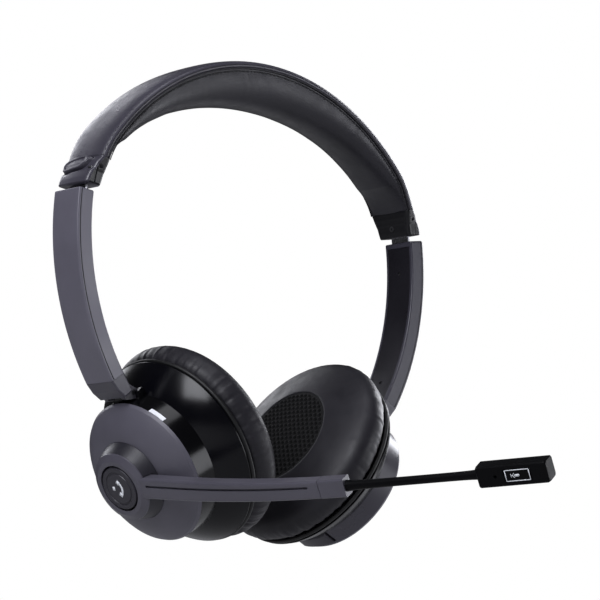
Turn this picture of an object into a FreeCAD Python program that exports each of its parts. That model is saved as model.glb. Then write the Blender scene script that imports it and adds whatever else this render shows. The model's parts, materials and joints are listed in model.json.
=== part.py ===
"""Wireless on-ear office headset with a swinging boom microphone, as separate pieces.

Millimetres. Origin midway between the two ear cushions. +Z is up towards the headband,
the wearer faces -Y, and the boom is on the -X cup.
"""

import FreeCAD
import Part
import math
import os

V = FreeCAD.Vector

# headband curve, seen from the front: the arms' outer surface and its continuation
EAR_DROP = 46.0          # from the top arc's centre down to the origin
R_TOP = 97.9             # radius over the head
R_SHOULDER = 44.6        # tighter radius above the ears
R_ARM = 98.7             # radius of the arms
PHI_TOP = 49.2           # where the top arc ends, degrees from +Z
PHI_SHOULDER = 78.5      # where the shoulder arc ends

# headband layers, as offsets inwards from that curve
COVER_OUT = 4.5
COVER_IN = 7.2
SPRING_THICK = 0.75
LAYER_GAP = 0.05
CUSHION_THIN = 8.8
CUSHION_SWELL = 12.2
CUSHION_POWER = 1.6
BAND_HALF = 10.8
CUSHION_HALF = 10.3
SPRING_HALF = 6.0
PHI_BAND = 70.0          # the padded part ends here
PHI_SPRING = 77.0

# end caps and slider strips
PHI_CAP = 81.2
CAP_HALF = 8.2
CAP_IN = 9.6
CAP_PIN_R = 0.55
STRIP_MID = 4.9
STRIP_THICK = 0.8
STRIP_HALF = 4.4
STRIP_START = 72.0
STRIP_BEND = 82.0
STRIP_REACH = 21.8       # straight length below the bend
STRIP_PLAY = 0.12

# arms
PHI_ARM = 82.5
PHI_FORK = 123.0
PHI_ARM_END = 127.6
ARM_THICK = 6.6
ARM_HALF = 7.1
ARM_WALL = 1.4
ARM_COVER_THICK = 1.1

# ear cups, in each cup's own frame: x forward, y up in the cup's plane, z outward
CUP_TILT = 28.5
CUP_X = 49.6
CUP_Z = -14.0
R_RIM = 26.5
RIM_WALL = 1.6
RIM_DEPTH = 8.6
DOME_HEIGHT = 5.6
R_BELL = 34.2            # behind the flare, where the cushion seats
R_FLARE = 34.9
BELL_DEPTH = 20.0
SHELL = 1.5
PIVOT_Y = 28.6
PIVOT_Z = -5.0
PIN_R = 1.0
PIN_PLAY = 0.06
EAR_IN = 3.7             # fork ears, from the middle plane
EAR_OUT = 5.5
TONGUE_HALF = 3.4
TONGUE_R = 2.2
CHEEK_IN = 5.8
CHEEK_OUT = 7.3
TILT_RANGE = (-18, 4)    # degrees, for the room cut into the forks

# cushions
PAD_R = 36.9
PAD_HOLE_R = 19.2
PAD_BACK = -20.3
PAD_FACE = -36.2        # the ring's inner edge, nearest the ear
CENTRE_FACE = -37.0     # the flat in the middle of the centre's dome

# boom, turning about the left cup's own axis
BOOM_DOWN = 5.74         # degrees below straight ahead at rest
HUB_R = 14.8
HUB_TOP_R = 12.75
HUB_BASE_Z = 5.85
HUB_STEP_Z = 10.55
HUB_TOP_Z = 12.3
AXLE_R = 5.0
BUTTON_R = 8.0
BOOM_MID_Z = 9.5
BOOM_THICK = 4.8
BOOM_ROOT_W = 8.0
BOOM_TIP_W = 6.2
BOOM_STRAIGHT = 30.0
BOOM_BEND = 14.48        # degrees the rigid arm curves inwards beyond its straight root
BOOM_LENGTH = 99.0
BOOM_ARM_END = 89.3
CHANNEL_HALF = 0.45      # groove along the arm's outer face
CHANNEL_DEEP = 0.8
CHANNEL_UP = 1.1         # above the arm's middle line
NECK_R = 1.5
NECK_LENGTH = 48.2
NECK_BEND = 0.97
NECK_GAP = 0.6
MIC_LENGTH = 24.4
MIC_HALF = 3.6
MIC_BACK = 2.9


def curve_point(phi, inset=0.0):
    """(x, z) on the headband curve at phi degrees from +Z towards +X, inset inwards."""
    side = -1.0 if phi < 0 else 1.0
    angle = abs(phi)
    centre_x, centre_z, radius = arc_at(angle)
    a = math.radians(angle)
    return side * (centre_x + (radius - inset) * math.sin(a)), centre_z + (radius - inset) * math.cos(a)


def arc_at(angle):
    """Centre and radius of the arc that the curve follows at this angle."""
    top, shoulder = math.radians(PHI_TOP), math.radians(PHI_SHOULDER)
    if angle <= PHI_TOP:
        return 0.0, EAR_DROP, R_TOP
    x = (R_TOP - R_SHOULDER) * math.sin(top)
    z = EAR_DROP + (R_TOP - R_SHOULDER) * math.cos(top)
    if angle <= PHI_SHOULDER:
        return x, z, R_SHOULDER
    x += (R_SHOULDER - R_ARM) * math.sin(shoulder)
    z += (R_SHOULDER - R_ARM) * math.cos(shoulder)
    return x, z, R_ARM


def on_curve(phi, inset, y):
    x, z = curve_point(phi, inset)
    return V(x, y, z)


def curve_edges(phi_a, phi_b, inset, y):
    """Tangent arcs along the curve from phi_a to phi_b."""
    joints = [p for p in (-PHI_SHOULDER, -PHI_TOP, PHI_TOP, PHI_SHOULDER) if phi_a < p < phi_b]
    stops = [phi_a] + joints + [phi_b]
    edges = []
    for a, b in zip(stops, stops[1:]):
        middle = (a + b) / 2
        arc = Part.Arc(on_curve(a + 1e-9, inset, y), on_curve(middle, inset, y), on_curve(b - 1e-9, inset, y))
        edges.append(arc.toShape())
    return edges


def ribbon(phi_a, phi_b, inset_out, inset_in, y_a, y_b):
    """Solid between two insets of the curve, from y_a to y_b."""
    outer = curve_edges(phi_a, phi_b, inset_out, y_a)
    inner = curve_edges(phi_a, phi_b, inset_in, y_a)
    start = Part.LineSegment(on_curve(phi_a, inset_out, y_a), on_curve(phi_a, inset_in, y_a)).toShape()
    end = Part.LineSegment(on_curve(phi_b, inset_out, y_a), on_curve(phi_b, inset_in, y_a)).toShape()
    wire = Part.Wire(Part.__sortEdges__(outer + inner + [start, end]))
    return Part.Face(wire).extrude(V(0, y_b - y_a, 0))


def polygon_xz(points, y_a, y_b):
    """Prism across Y of a closed polygon of (x, z) points."""
    corners = [V(x, y_a, z) for x, z in points]
    return Part.Face(Part.makePolygon(corners + corners[:1])).extrude(V(0, y_b - y_a, 0))


def turned(start, *steps):
    """Solid of revolution about Z. A step is (r, z) for a line, or two such points for an arc."""
    edges = []
    here = start
    for step in steps + (start,):
        if isinstance(step[0], tuple):
            middle, there = step
            arc = Part.Arc(V(here[0], 0, here[1]), V(middle[0], 0, middle[1]), V(there[0], 0, there[1]))
            edges.append(arc.toShape())
        else:
            there = step
            if there == here:
                continue
            edges.append(Part.LineSegment(V(here[0], 0, here[1]), V(there[0], 0, there[1])).toShape())
        here = there
    return Part.Face(Part.Wire(edges)).revolve(V(0, 0, 0), V(0, 0, 1), 360)


def domed_disc(radius, z_flat, z_edge, z_top):
    """Disc with one flat face and one ball-shaped face that goes from z_edge at the rim to z_top."""
    rise = z_top - z_edge
    ball = (radius * radius + rise * rise) / (2 * abs(rise))
    centre_z = z_top - math.copysign(ball, rise)
    low, high = min(z_flat, z_top), max(z_flat, z_top)
    column = Part.makeCylinder(radius, high - low, V(0, 0, low))
    return column.common(Part.makeSphere(ball, V(0, 0, centre_z), V(1, 0, 0)))


def block(x_a, x_b, y_a, y_b, z_a, z_b):
    return Part.makeBox(x_b - x_a, y_b - y_a, z_b - z_a, V(x_a, y_a, z_a))


def rod(radius, start, end):
    """Cylinder from one point to another."""
    return Part.makeCylinder(radius, (end - start).Length, start, end - start)


def ring_sector(r_in, r_out, z_a, z_b, angle_a, angle_b):
    """Part of a ring about Z between two angles from +X."""
    outer = Part.makeCylinder(r_out, z_b - z_a, V(0, 0, z_a), V(0, 0, 1), angle_b - angle_a)
    inner = Part.makeCylinder(r_in, z_b - z_a, V(0, 0, z_a))
    outer.rotate(V(0, 0, 0), V(0, 0, 1), angle_a)
    return outer.cut(inner)


def softened(shape, radius, wanted):
    """The shape with the edges that wanted(edge) picks rounded."""
    return shape.makeFillet(radius, [edge for edge in shape.Edges if wanted(edge)])


def mirrored(shape):
    return shape.mirror(V(0, 0, 0), V(1, 0, 0))


def tidy(shape):
    """One clean solid, or a compound of them."""
    shape = shape.removeSplitter()
    solids = shape.Solids
    return solids[0] if len(solids) == 1 else Part.makeCompound(solids)


PIECES = {}


def keep(name, shape):
    PIECES[name] = tidy(shape)


def keep_pair(name, left):
    keep(name + "_L", left)
    keep(name + "_R", mirrored(left))


# the cup's frame, on the left side
TILT = math.radians(CUP_TILT)
CUP_FORWARD = V(0, -1, 0)
CUP_UP = V(-math.sin(TILT), 0, math.cos(TILT))
CUP_OUT = V(-math.cos(TILT), 0, -math.sin(TILT))
CUP_PLACE = FreeCAD.Placement(V(-CUP_X, 0, CUP_Z), FreeCAD.Rotation(CUP_FORWARD, CUP_UP, CUP_OUT, "ZXY"))
BOOM_PLACE = CUP_PLACE.multiply(FreeCAD.Placement(V(0, 0, 0), FreeCAD.Rotation(V(0, 0, 1), -BOOM_DOWN)))


def in_cup(shape):
    return moved(shape, CUP_PLACE)


def moved(shape, place):
    copy = shape.copy()
    copy.Placement = place.multiply(copy.Placement)
    return copy


def in_boom(shape):
    return moved(shape, BOOM_PLACE)


# ---------------------------------------------------------------- headband


def cushion_inset(phi):
    """How far the inner cushion's face lies inside the curve: fullest at the crown."""
    swell = math.cos(math.radians(90.0 * phi / (PHI_BAND + 4.0))) ** CUSHION_POWER
    return CUSHION_THIN + CUSHION_SWELL * swell


def make_headband():
    spring_in = COVER_IN + LAYER_GAP + SPRING_THICK
    keep("headband_cover", ribbon(-PHI_BAND, PHI_BAND, COVER_OUT, COVER_IN, -BAND_HALF, BAND_HALF))
    keep("headband_spring",
         ribbon(-PHI_SPRING, PHI_SPRING, COVER_IN + LAYER_GAP, spring_in, -SPRING_HALF, SPRING_HALF))
    keep("headband_wire",
         ribbon(-PHI_BAND, PHI_BAND, COVER_IN + LAYER_GAP, spring_in, SPRING_HALF + 1.4, SPRING_HALF + 3.0))
    outer = curve_edges(-PHI_BAND, PHI_BAND, spring_in + LAYER_GAP, -CUSHION_HALF)
    steps = 14
    face_points = []
    for i in range(steps + 1):
        phi = -PHI_BAND + 2 * PHI_BAND * i / steps
        face_points.append(on_curve(phi, cushion_inset(phi), -CUSHION_HALF))
    face = Part.BSplineCurve()
    face.interpolate(face_points)
    ends = []
    for phi in (-PHI_BAND, PHI_BAND):
        top = on_curve(phi, spring_in + LAYER_GAP, -CUSHION_HALF)
        ends.append(Part.LineSegment(top, on_curve(phi, cushion_inset(phi), -CUSHION_HALF)).toShape())
    wire = Part.Wire(Part.__sortEdges__(outer + [face.toShape()] + ends))
    keep("headband_cushion", Part.Face(wire).extrude(V(0, 2 * CUSHION_HALF, 0)))


def strip_direction():
    """Unit vector down the straight part of the right slider strip."""
    a = math.radians(STRIP_BEND)
    return V(math.cos(a), 0, -math.sin(a))


def strip_bar(reach, grow_thick, grow_width):
    """The straight part of the right strip, or the slot it runs in."""
    along = strip_direction()
    outward = V(-along.z, 0, along.x)
    start = on_curve(STRIP_BEND, STRIP_MID, 0)
    half = STRIP_THICK / 2 + grow_thick
    points = []
    for distance, side in ((0, -half), (reach, -half), (reach, half), (0, half)):
        p = start + along * distance + outward * side
        points.append((p.x, p.z))
    width = STRIP_HALF + grow_width
    return polygon_xz(points, -width, width)


def make_strips():
    curved = ribbon(STRIP_START, STRIP_BEND, STRIP_MID - STRIP_THICK / 2, STRIP_MID + STRIP_THICK / 2,
                    -STRIP_HALF, STRIP_HALF)
    strip = curved.fuse(strip_bar(STRIP_REACH, 0, 0))
    for row in (-1, 1):
        for notch in range(6):
            spot = on_curve(STRIP_BEND, STRIP_MID, row * STRIP_HALF) + strip_direction() * (5 + 2.6 * notch)
            strip = strip.cut(Part.makeCylinder(0.6, 4, spot - V(2, 0, 0), V(1, 0, 0)))
    hole = on_curve(76, STRIP_MID, 0)
    strip = strip.cut(Part.makeCylinder(1.3, 8, hole - V(4, 0, 0.6), V(1, 0, 0.16)))
    keep("slider_strip_R", strip)
    keep("slider_strip_L", mirrored(strip))


def make_end_caps():
    strip_out = STRIP_MID - STRIP_THICK / 2 - LAYER_GAP
    strip_in = STRIP_MID + STRIP_THICK / 2 + LAYER_GAP
    phi_a = PHI_BAND + 0.15
    outline = [(phi_a, 4.2), (73.5, 3.1), (77.4, 2.7), (78.2, 1.4), (PHI_CAP, 0.3), (PHI_CAP, strip_out),
               (77.0, strip_out), (73.5, strip_out), (phi_a, 4.6)]
    body = polygon_xz([curve_point(p, i) for p, i in outline], -CAP_HALF, CAP_HALF)
    body = softened(body, 1.1, lambda e: abs(abs(e.CenterOfMass.y) - CAP_HALF) < 0.01
                    and e.Length > 2.0 and e.CenterOfMass.x > curve_point(76, 3.6)[0])
    saddle = polygon_xz([curve_point(p, i) for p, i in
                         [(70.9, 4.2), (71.6, 1.9), (74.4, 1.2), (76.9, 1.5), (77.3, 3.4), (74, 4.1)]], -5.6, 5.6)
    saddle = softened(saddle, 1.0, lambda e: abs(abs(e.CenterOfMass.y) - 5.6) < 0.01
                      and e.CenterOfMass.x > curve_point(74, 3.0)[0])
    outer = body.fuse(saddle).cut(cap_pin(CAP_PIN_R + LAYER_GAP, -1.0))
    keep("end_cap_outer_R", outer)
    keep("end_cap_outer_L", mirrored(outer))

    inner_outline = [(phi_a, 4.75), (73.5, strip_out + 0.02), (77.0, strip_out + 0.02), (PHI_CAP, strip_out + 0.02),
                     (PHI_CAP, 8.4), (79.5, CAP_IN), (73.0, CAP_IN), (phi_a, 9.3)]
    inner = polygon_xz([curve_point(p, i) for p, i in inner_outline], -CAP_HALF, CAP_HALF)
    inner = softened(inner, 1.0, lambda e: abs(abs(e.CenterOfMass.y) - CAP_HALF) < 0.01
                     and e.CenterOfMass.x < curve_point(76, 8.0)[0] and e.Length > 2.0)
    inner = inner.cut(ribbon(68, 84, strip_out - 1, strip_in, -STRIP_HALF - 0.1, STRIP_HALF + 0.1))
    inner = inner.cut(ribbon(68, PHI_SPRING + 0.2, COVER_IN, COVER_IN + 0.85, -SPRING_HALF - 0.1, SPRING_HALF + 0.1))
    screw = cap_screw()
    inner = inner.cut(cap_screw_hole())
    keep("end_cap_inner_R", inner)
    keep("end_cap_inner_L", mirrored(inner))
    pin = cap_pin(CAP_PIN_R, 0.4)
    keep("cap_fasteners", Part.makeCompound([screw, mirrored(screw), pin, mirrored(pin)]))


def cap_axis(phi):
    """Point on the inner cap's face and the direction into it, for the right side."""
    a = math.radians(phi)
    return on_curve(phi, CAP_IN, 0), V(math.sin(a), 0, math.cos(a))


def cap_screw():
    face, into = cap_axis(79.0)
    head = rod(1.1, face + into * 0.5, face + into * 1.3)
    shank = rod(0.6, face + into * 1.3, face + into * 3.9)
    drive = rod(0.45, face + into * 0.4, face + into * 0.9)
    return head.fuse(shank).cut(drive)


def cap_screw_hole():
    face, into = cap_axis(79.0)
    return rod(1.15, face - into * 1.5, face + into * 1.3).fuse(rod(0.6, face, face + into * 3.9))


def cap_pin(radius, start):
    """Small round pin in the front side of the outer cap, from this far below its face."""
    spot = on_curve(77.0, 3.55, -CAP_HALF)
    return rod(radius, spot + V(0, start, 0), spot + V(0, 2.2, 0))


# ---------------------------------------------------------------- arms


def pivot_point():
    """Tilt axis of the left cup."""
    return CUP_PLACE.multVec(V(0, PIVOT_Y, PIVOT_Z))


def make_arms():
    """Built on the right, then mirrored to the left."""
    long_edges = lambda e: abs(abs(e.CenterOfMass.y) - ARM_HALF) < 0.01 and e.Length > 20
    solid = ribbon(PHI_ARM, PHI_FORK, 0, ARM_THICK, -ARM_HALF, ARM_HALF)
    solid = softened(solid, 0.7, long_edges)
    solid = softened(solid, 0.6, lambda e: abs(e.Length - 2 * ARM_HALF) < 1.5
                     and e.CenterOfMass.z > curve_point(PHI_ARM + 1, 3)[1])
    width = ARM_HALF - ARM_WALL
    hollow = ribbon(PHI_ARM + 1.2, PHI_FORK + 1, ARM_WALL, ARM_THICK + 1, -width, width)
    slot = strip_bar(STRIP_REACH + 3.0, STRIP_PLAY, STRIP_PLAY)
    shell = solid.cut(hollow).cut(slot)
    for side in (-1, 1):
        y_a, y_b = sorted((side * (ARM_HALF - 0.3), side * (ARM_HALF + 1)))
        shell = shell.cut(ribbon(PHI_ARM - 1, PHI_FORK + 1, 1.0, 1.4, y_a, y_b))
    keep_arm("arm_shell", shell)

    guide = ribbon(PHI_ARM + 1.25, 98.0, ARM_WALL + LAYER_GAP, ARM_THICK - ARM_COVER_THICK - LAYER_GAP,
                   -width + LAYER_GAP, width - LAYER_GAP)
    keep_arm("strip_guide", guide.cut(slot))

    cover = ribbon(PHI_ARM + 1.25, PHI_FORK - 0.05, ARM_THICK - ARM_COVER_THICK, ARM_THICK - 0.05,
                   -width + LAYER_GAP, width - LAYER_GAP)
    holes = [rod(0.7, *arm_normal(phi, 2.0, 8.0)) for phi in (90.0, 118.0)]
    for hole in holes:
        cover = cover.cut(hole)
    keep_arm("arm_cover", cover)
    screws = [rod(0.65, *arm_normal(phi, 2.4, ARM_THICK - 0.4)) for phi in (118.0,)]
    screws += [rod(0.65, *arm_normal(phi, 5.6, ARM_THICK - 0.4)) for phi in (90.0,)]
    keep_arm("arm_screws", Part.makeCompound(screws))
    make_forks()


def arm_normal(phi, inset_a, inset_b):
    return on_curve(phi, inset_a, 0), on_curve(phi, inset_b, 0)


def keep_arm(name, right):
    keep(name + "_R", right)
    keep(name + "_L", mirrored(right))


def make_forks():
    """The arm's tip: two tapered ears reach inwards to the tilt pin, clear of the rim between them."""
    left = pivot_point()
    pivot = V(-left.x, 0, left.z)
    tip = [(PHI_FORK + 0.05, 0.0), (125.4, 0.7), (PHI_ARM_END, 2.2), (PHI_ARM_END, ARM_THICK),
           (PHI_FORK + 0.05, ARM_THICK)]
    fork = polygon_xz([curve_point(phi, inset) for phi, inset in tip], -ARM_HALF, ARM_HALF)
    fork = softened(fork, 0.7, lambda e: abs(abs(e.CenterOfMass.y) - ARM_HALF) < 0.01
                    and abs(e.Length - ARM_THICK) > 0.05)
    ear = [(61.6, 16.4), (57.2, 14.8), (55.8, 12.3), (60.6, 9.3), (63.3, 11.4), (63.3, 14.5)]
    for side in (-1, 1):
        fork = fork.fuse(polygon_xz(ear, *sorted((side * EAR_IN, side * EAR_OUT))))
    knuckle_room = Part.makeCylinder(TONGUE_R + 0.5, 2 * EAR_IN, V(pivot.x, -EAR_IN, pivot.z), V(0, 1, 0))
    fork = fork.cut(knuckle_room)
    for angle in range(TILT_RANGE[0], TILT_RANGE[1] + 1, 2):
        fork = fork.cut(mirrored(tilted(in_cup(rim_room()), angle)))
    hole = Part.makeCylinder(PIN_R, 30, V(pivot.x, -15, pivot.z), V(0, 1, 0))
    keep_arm("arm_fork", fork.cut(hole))
    pin = Part.makeCylinder(PIN_R, 2 * EAR_OUT - 0.2, V(pivot.x, -EAR_OUT + 0.1, pivot.z), V(0, 1, 0))
    keep_arm("tilt_pin", pin)


def rim_room():
    """Space that the rim, with its tongue, needs inside the fork, in the cup's frame."""
    rim = Part.makeCylinder(R_RIM + 0.35, RIM_DEPTH + 1.2, V(0, 0, -RIM_DEPTH - 0.6))
    tongue = block(-EAR_IN, EAR_IN, R_RIM - 2, PIVOT_Y, PIVOT_Z - TONGUE_R - 0.3, PIVOT_Z + TONGUE_R + 0.3)
    return rim.fuse(tongue)


def tilted(shape, angle):
    """A shape on the left cup, turned about the tilt axis."""
    copy = shape.copy()
    copy.rotate(pivot_point(), CUP_FORWARD, angle)
    return copy


# ---------------------------------------------------------------- ear cups


def make_disc_covers():
    edge = (R_RIM, -1.0)
    chamfer = (R_RIM - 0.7, 0.1)
    under = DOME_HEIGHT - RIM_WALL
    left = turned((AXLE_R, DOME_HEIGHT), (HUB_R, DOME_HEIGHT), ((20.9, 3.55), chamfer), edge,
                  (R_RIM - 1.8, -1.0), ((20.2, 2.0), (14.5, under)), (AXLE_R, under))
    keep("disc_cover_L", in_cup(left))
    crown = 7.4
    rim = turned((0, -1.0), edge, chamfer, (0, chamfer[1]))
    right = rim.fuse(domed_disc(chamfer[0], -1.0, chamfer[1], crown))
    right = right.cut(domed_disc(R_RIM - 1.8, -2.0, -1.0, crown - 1.6))
    groove = turned((14.9, 4.9), (15.5, 4.9), (15.5, 8.0), (14.9, 8.0))
    keep("disc_cover_R", mirrored(in_cup(right.cut(groove))))


def outermost(edge, radius):
    """True for an edge that lies wholly at this radius about Z."""
    return all(abs(math.hypot(v.Point.x, v.Point.y) - radius) < 0.01 for v in edge.Vertexes)


def rim_blank():
    rim = turned((R_RIM - RIM_WALL, -1.05), (R_RIM, -1.05), (R_RIM + 0.2, -RIM_DEPTH), (21, -RIM_DEPTH),
                 (21, -RIM_DEPTH + 1.2), (R_RIM - RIM_WALL, -RIM_DEPTH + 1.2))
    tongue = block(-TONGUE_HALF, TONGUE_HALF, R_RIM - 1.3, PIVOT_Y, PIVOT_Z - TONGUE_R, PIVOT_Z + TONGUE_R)
    knuckle = Part.makeCylinder(TONGUE_R, 2 * TONGUE_HALF, V(-TONGUE_HALF, PIVOT_Y, PIVOT_Z), V(1, 0, 0))
    hole = Part.makeCylinder(PIN_R + PIN_PLAY, 30, V(-15, PIVOT_Y, PIVOT_Z), V(1, 0, 0))
    rim = rim.fuse(tongue).fuse(knuckle).cut(hole)
    for side in (-1, 1):
        rim = rim.fuse(cheek(side))
    return rim


def cheek(side):
    """Shoulder of the rim beside the fork's ear."""
    x = side * CHEEK_IN
    corners = [V(x, y, z) for z, y in ((-4.5, 25.3), (-5.2, 28.6), (-7.6, 29.2), (-8.4, 27.8), (-8.4, 25.3))]
    return Part.Face(Part.makePolygon(corners + corners[:1])).extrude(V(side * (CHEEK_OUT - CHEEK_IN), 0, 0))


SOCKET_W = 8.9
SOCKET_H = 3.2
SOCKET_Z = -6.6
WINDOW_ARC = (43.5, 58)


def make_rims():
    """The left rim carries the charging socket and the status window, the right one the rocker."""
    socket_hole = block(-SOCKET_W / 2, SOCKET_W / 2, -30, -20, SOCKET_Z - SOCKET_H / 2, SOCKET_Z + SOCKET_H / 2)
    window = ring_sector(24.9, R_RIM + 0.15, -2.9, -1.05, *WINDOW_ARC)
    left = rim_blank().cut(socket_hole).cut(window)
    keep("rim_housing_L", in_cup(left))
    keep("status_window", in_cup(window))
    rocker_hole = ring_sector(23, 29, -RIM_DEPTH - 1, -2.1, -104.6, -69.4)
    keep("rim_housing_R", mirrored(in_cup(rim_blank().cut(rocker_hole))))
    rocker = ring_sector(24.3, R_RIM + 1.2, -8.4, -2.4, -103, -71)
    rocker = rocker.makeChamfer(0.6, [e for e in rocker.Edges if outermost(e, R_RIM + 1.2)])
    keep("volume_rocker", mirrored(in_cup(rocker)))


def make_bells():
    front = -RIM_DEPTH - LAYER_GAP
    bell = turned((R_RIM + 0.2, front), ((31.2, -12.6), (R_FLARE, -17.2)), (R_FLARE, -17.5), (R_BELL, -17.7),
                  (R_BELL, -BELL_DEPTH), (R_BELL - SHELL, -BELL_DEPTH), (R_BELL - SHELL, -18.9),
                  ((30.2, -14.1), (25.2, -10.3)), (22, -10.3), (22, front))
    screws = []
    for angle in (30, 150, 270):
        a = math.radians(angle)
        spot = V(23.4 * math.cos(a), 23.4 * math.sin(a), 0)
        screws.append(rod(0.7, spot + V(0, 0, front - 3.0), spot + V(0, 0, front)))
    for screw in screws:
        bell = bell.cut(screw)
    keep_pair("bell_shell", in_cup(bell))
    keep_pair("cup_screws", in_cup(Part.makeCompound(screws)))


def make_speakers():
    baffle = turned((0, -18.95), (R_BELL - SHELL - 0.1, -18.95), (R_BELL - SHELL - 0.1, -20.2), (0, -20.2))
    for ring_radius, count in ((5.5, 6), (11.0, 12)):
        for i in range(count):
            a = 2 * math.pi * i / count
            hole = Part.makeCylinder(1.2, 3, V(ring_radius * math.cos(a), ring_radius * math.sin(a), -21))
            baffle = baffle.cut(hole)
    keep_pair("baffle", in_cup(baffle))
    keep_pair("speaker_frame", in_cup(turned((16.5, -18.9), (20, -18.9), (20, -16.5), (12, -12.4), (9.65, -12.4),
                                             (9.65, -13.6), (16.5, -17.2))))
    keep_pair("speaker_magnet", in_cup(turned((0, -8.8), (9.6, -8.8), (9.6, -13.6), (0, -13.6))))
    cone = domed_disc(16.4, -18.6, -18.1, -15.0).cut(domed_disc(16.4, -20.0, -18.6, -15.5))
    keep_pair("diaphragm", in_cup(cone))


def make_cushions():
    pad = turned((PAD_HOLE_R, PAD_BACK), (33.2, PAD_BACK), ((PAD_R, -26.0), (34.0, -31.0)),
                 ((28.0, -34.3), (PAD_HOLE_R, PAD_FACE)))
    keep_pair("ear_pad", in_cup(pad))
    radius = PAD_HOLE_R - 0.1
    dome = domed_disc(radius, -33.0, PAD_FACE + 0.1, CENTRE_FACE - 0.1)
    keep_pair("pad_centre", in_cup(dome.cut(block(-20, 20, -20, 20, CENTRE_FACE - 1.0, CENTRE_FACE))))


def make_electronics():
    board = turned((7.5, -3.9), (23.5, -3.9), (23.5, -4.9), (7.5, -4.9))
    keep("circuit_board", in_cup(board.cut(block(-3.8, 3.8, 20, 30, -6, 0))))
    half_w, half_h = SOCKET_W / 2, SOCKET_H / 2
    socket = block(-half_w, half_w, -R_RIM + 0.1, -19.0, SOCKET_Z - half_h, SOCKET_Z + half_h)
    mouth = block(-half_w + 0.3, half_w - 0.3, -R_RIM - 1, -20.0, SOCKET_Z - half_h + 0.3, SOCKET_Z + half_h - 0.3)
    tongue = block(-3.3, 3.3, -25.3, -20.0, SOCKET_Z - 0.35, SOCKET_Z + 0.35)
    keep("charge_socket", in_cup(socket.cut(mouth).fuse(tongue)))
    battery = softened(block(-14.0, 14.0, -10.0, 12.0, -7.6, -2.4), 1.2,
                       lambda e: abs(e.Vertexes[0].Point.z - e.Vertexes[1].Point.z) > 4)
    keep("battery", mirrored(in_cup(battery)))


# ---------------------------------------------------------------- boom


def boom_radius():
    """Radius of the curve that follows the boom's straight root."""
    return (BOOM_LENGTH - BOOM_STRAIGHT) / math.radians(BOOM_BEND)


def boom_angle(distance):
    """How far the boom has turned inwards at this distance, in degrees."""
    if distance <= BOOM_STRAIGHT:
        return 0.0
    if distance <= BOOM_LENGTH:
        return BOOM_BEND * (distance - BOOM_STRAIGHT) / (BOOM_LENGTH - BOOM_STRAIGHT)
    return BOOM_BEND + NECK_BEND * min(1.0, (distance - BOOM_LENGTH) / NECK_LENGTH)


def boom_point(distance, outward=0.0, across=0.0):
    """Point along the boom's centreline, in the boom's frame: x ahead, y across, z outward."""
    if distance <= BOOM_STRAIGHT:
        return V(distance, across, BOOM_MID_Z + outward)
    a = math.radians(boom_angle(distance))
    if distance <= BOOM_LENGTH:
        radius = boom_radius()
        return V(BOOM_STRAIGHT + (radius + outward) * math.sin(a), across,
                 BOOM_MID_Z - radius + (radius + outward) * math.cos(a))
    start = boom_point(BOOM_LENGTH, 0.0, across)
    middle = math.radians((BOOM_BEND + boom_angle(distance)) / 2)
    run = distance - BOOM_LENGTH
    return start + V(run * math.cos(middle) + outward * math.sin(a), 0,
                     -run * math.sin(middle) + outward * math.cos(a))


def boom_height(point):
    """How far outward of the rigid arm's centreline a point of the boom's frame lies."""
    if point.x <= BOOM_STRAIGHT:
        return point.z - BOOM_MID_Z
    radius = boom_radius()
    return math.hypot(point.x - BOOM_STRAIGHT, point.z - BOOM_MID_Z + radius) - radius


def boom_line(start, end, height, y):
    """Edges along the boom at one height off its centreline: straight, then curved."""
    edges = []
    if start < BOOM_STRAIGHT:
        edges.append(Part.LineSegment(boom_point(start, height, y), boom_point(BOOM_STRAIGHT, height, y)).toShape())
        start = BOOM_STRAIGHT
    points = [boom_point(d, height, y) for d in (start, (start + end) / 2, end)]
    return edges + [Part.Arc(*points).toShape()]


def boom_band(start, end, z_low, z_high, half):
    """Bar along the boom between two distances and two heights off its centreline."""
    edges = boom_line(start, end, z_low, -half) + boom_line(start, end, z_high, -half)
    for d in (start, end):
        edges.append(Part.LineSegment(boom_point(d, z_low, -half), boom_point(d, z_high, -half)).toShape())
    return Part.Face(Part.Wire(Part.__sortEdges__(edges))).extrude(V(0, 2 * half, 0))


def round_boom_edges(shape, radius, height):
    """Round a boom bar's long edges at one height off its centreline."""
    return softened(shape, radius, lambda e: e.Length > 8.5
                    and all(abs(boom_height(v.Point) - height) < 0.02 for v in e.Vertexes))


def boom_planform():
    """Tapering outline of the rigid arm, seen from outside."""
    a, b = BOOM_ROOT_W / 2, BOOM_TIP_W / 2
    corners = [V(-2, -a, -60), V(-2, a, -60), V(BOOM_LENGTH, b, -60), V(BOOM_LENGTH, -b, -60)]
    return Part.Face(Part.makePolygon(corners + corners[:1])).extrude(V(0, 0, 120))


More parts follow.
